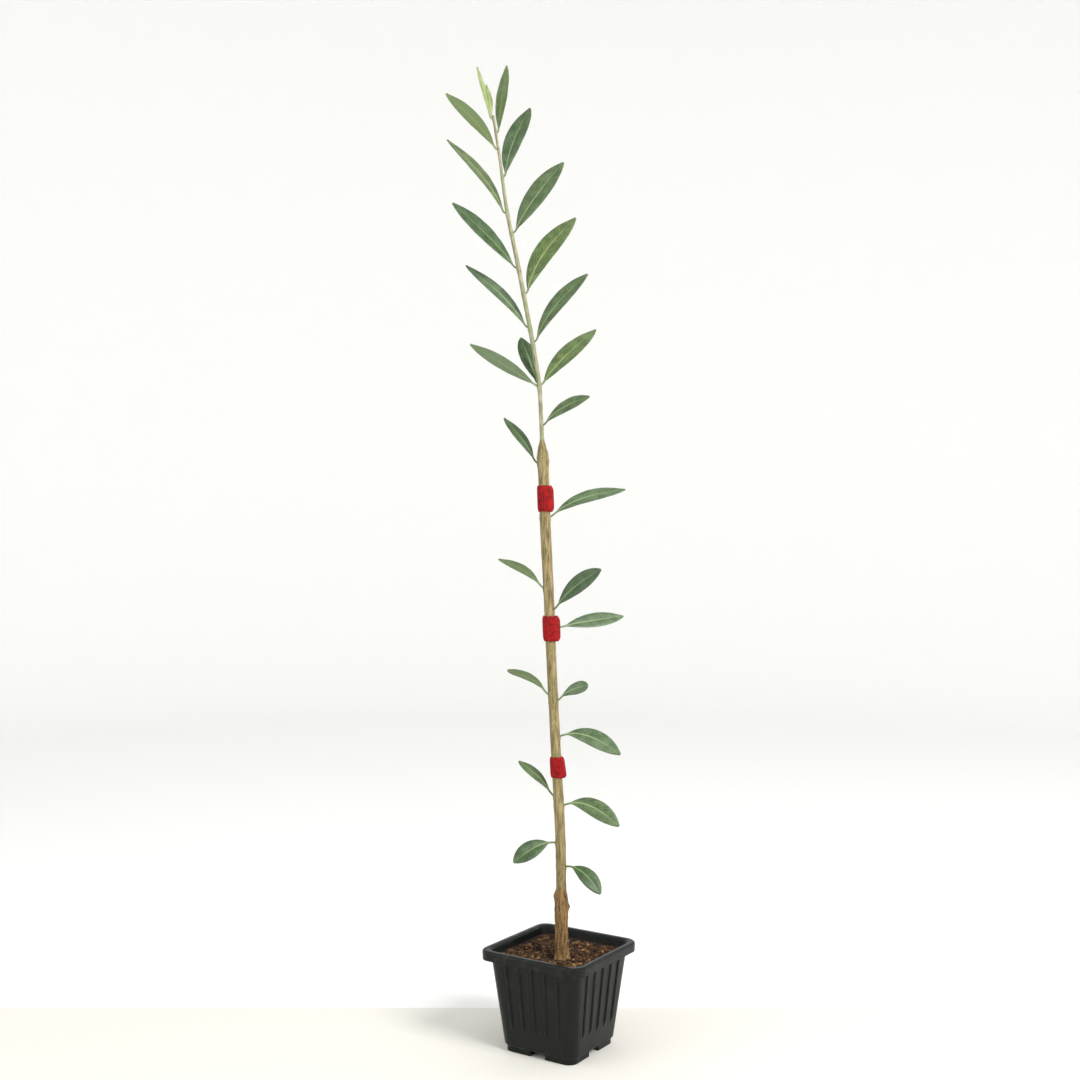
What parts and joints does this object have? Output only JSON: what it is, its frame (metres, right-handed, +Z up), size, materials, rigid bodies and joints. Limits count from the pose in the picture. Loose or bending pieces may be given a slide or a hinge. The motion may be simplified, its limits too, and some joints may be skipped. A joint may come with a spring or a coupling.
{
  "type": "potted arbequina olive tree",
  "caption": "Young grafted olive tree, a single slender stem with narrow leaves and red tape ties, in a square black nursery pot.",
  "frame": {"origin": "on the floor, under the middle of the whole plant's outline", "axes": "+Z up along the stem, X and Y square to the sides of the pot"},
  "size_m": [0.1162, 0.0998, 0.6685],
  "materials": {
    "black_plastic": "moulded black plastic, satin",
    "compost": "damp bark compost, rough",
    "bark": "young olive bark, dry and finely ridged",
    "green_bark": "first-year bark, smooth",
    "red_tape": "woven tape, ribbed",
    "leaf_green": "leathery leaf, satin above and grey-green beneath",
    "young_green": "young leaf, pale and soft"
  },
  "bodies": {
    "root": {"pot": "black_plastic", "compost": "compost", "trunk": "bark", "leader": "green_bark", "tape_low": "red_tape", "tape_middle": "red_tape", "tape_top": "red_tape", "leaf_01": "leaf_green", "leaf_02": "leaf_green", "leaf_03": "leaf_green", "leaf_04": "leaf_green", "leaf_05": "leaf_green", "leaf_06": "leaf_green", "leaf_07": "leaf_green", "leaf_08": "leaf_green", "leaf_09": "leaf_green", "leaf_10": "leaf_green", "leaf_11": "leaf_green", "leaf_12": "leaf_green", "leaf_13": "leaf_green", "leaf_14": "leaf_green", "leaf_15": "leaf_green", "leaf_16": "leaf_green", "leaf_17": "leaf_green", "leaf_18": "leaf_green", "leaf_19": "leaf_green", "leaf_20": "leaf_green", "leaf_21": "leaf_green", "leaf_22": "leaf_green", "leaf_23": "leaf_green", "leaf_24": "leaf_green", "leaf_25": "leaf_green", "young_leaf_1": "young_green", "young_leaf_2": "young_green"}
  },
  "joints": []
}
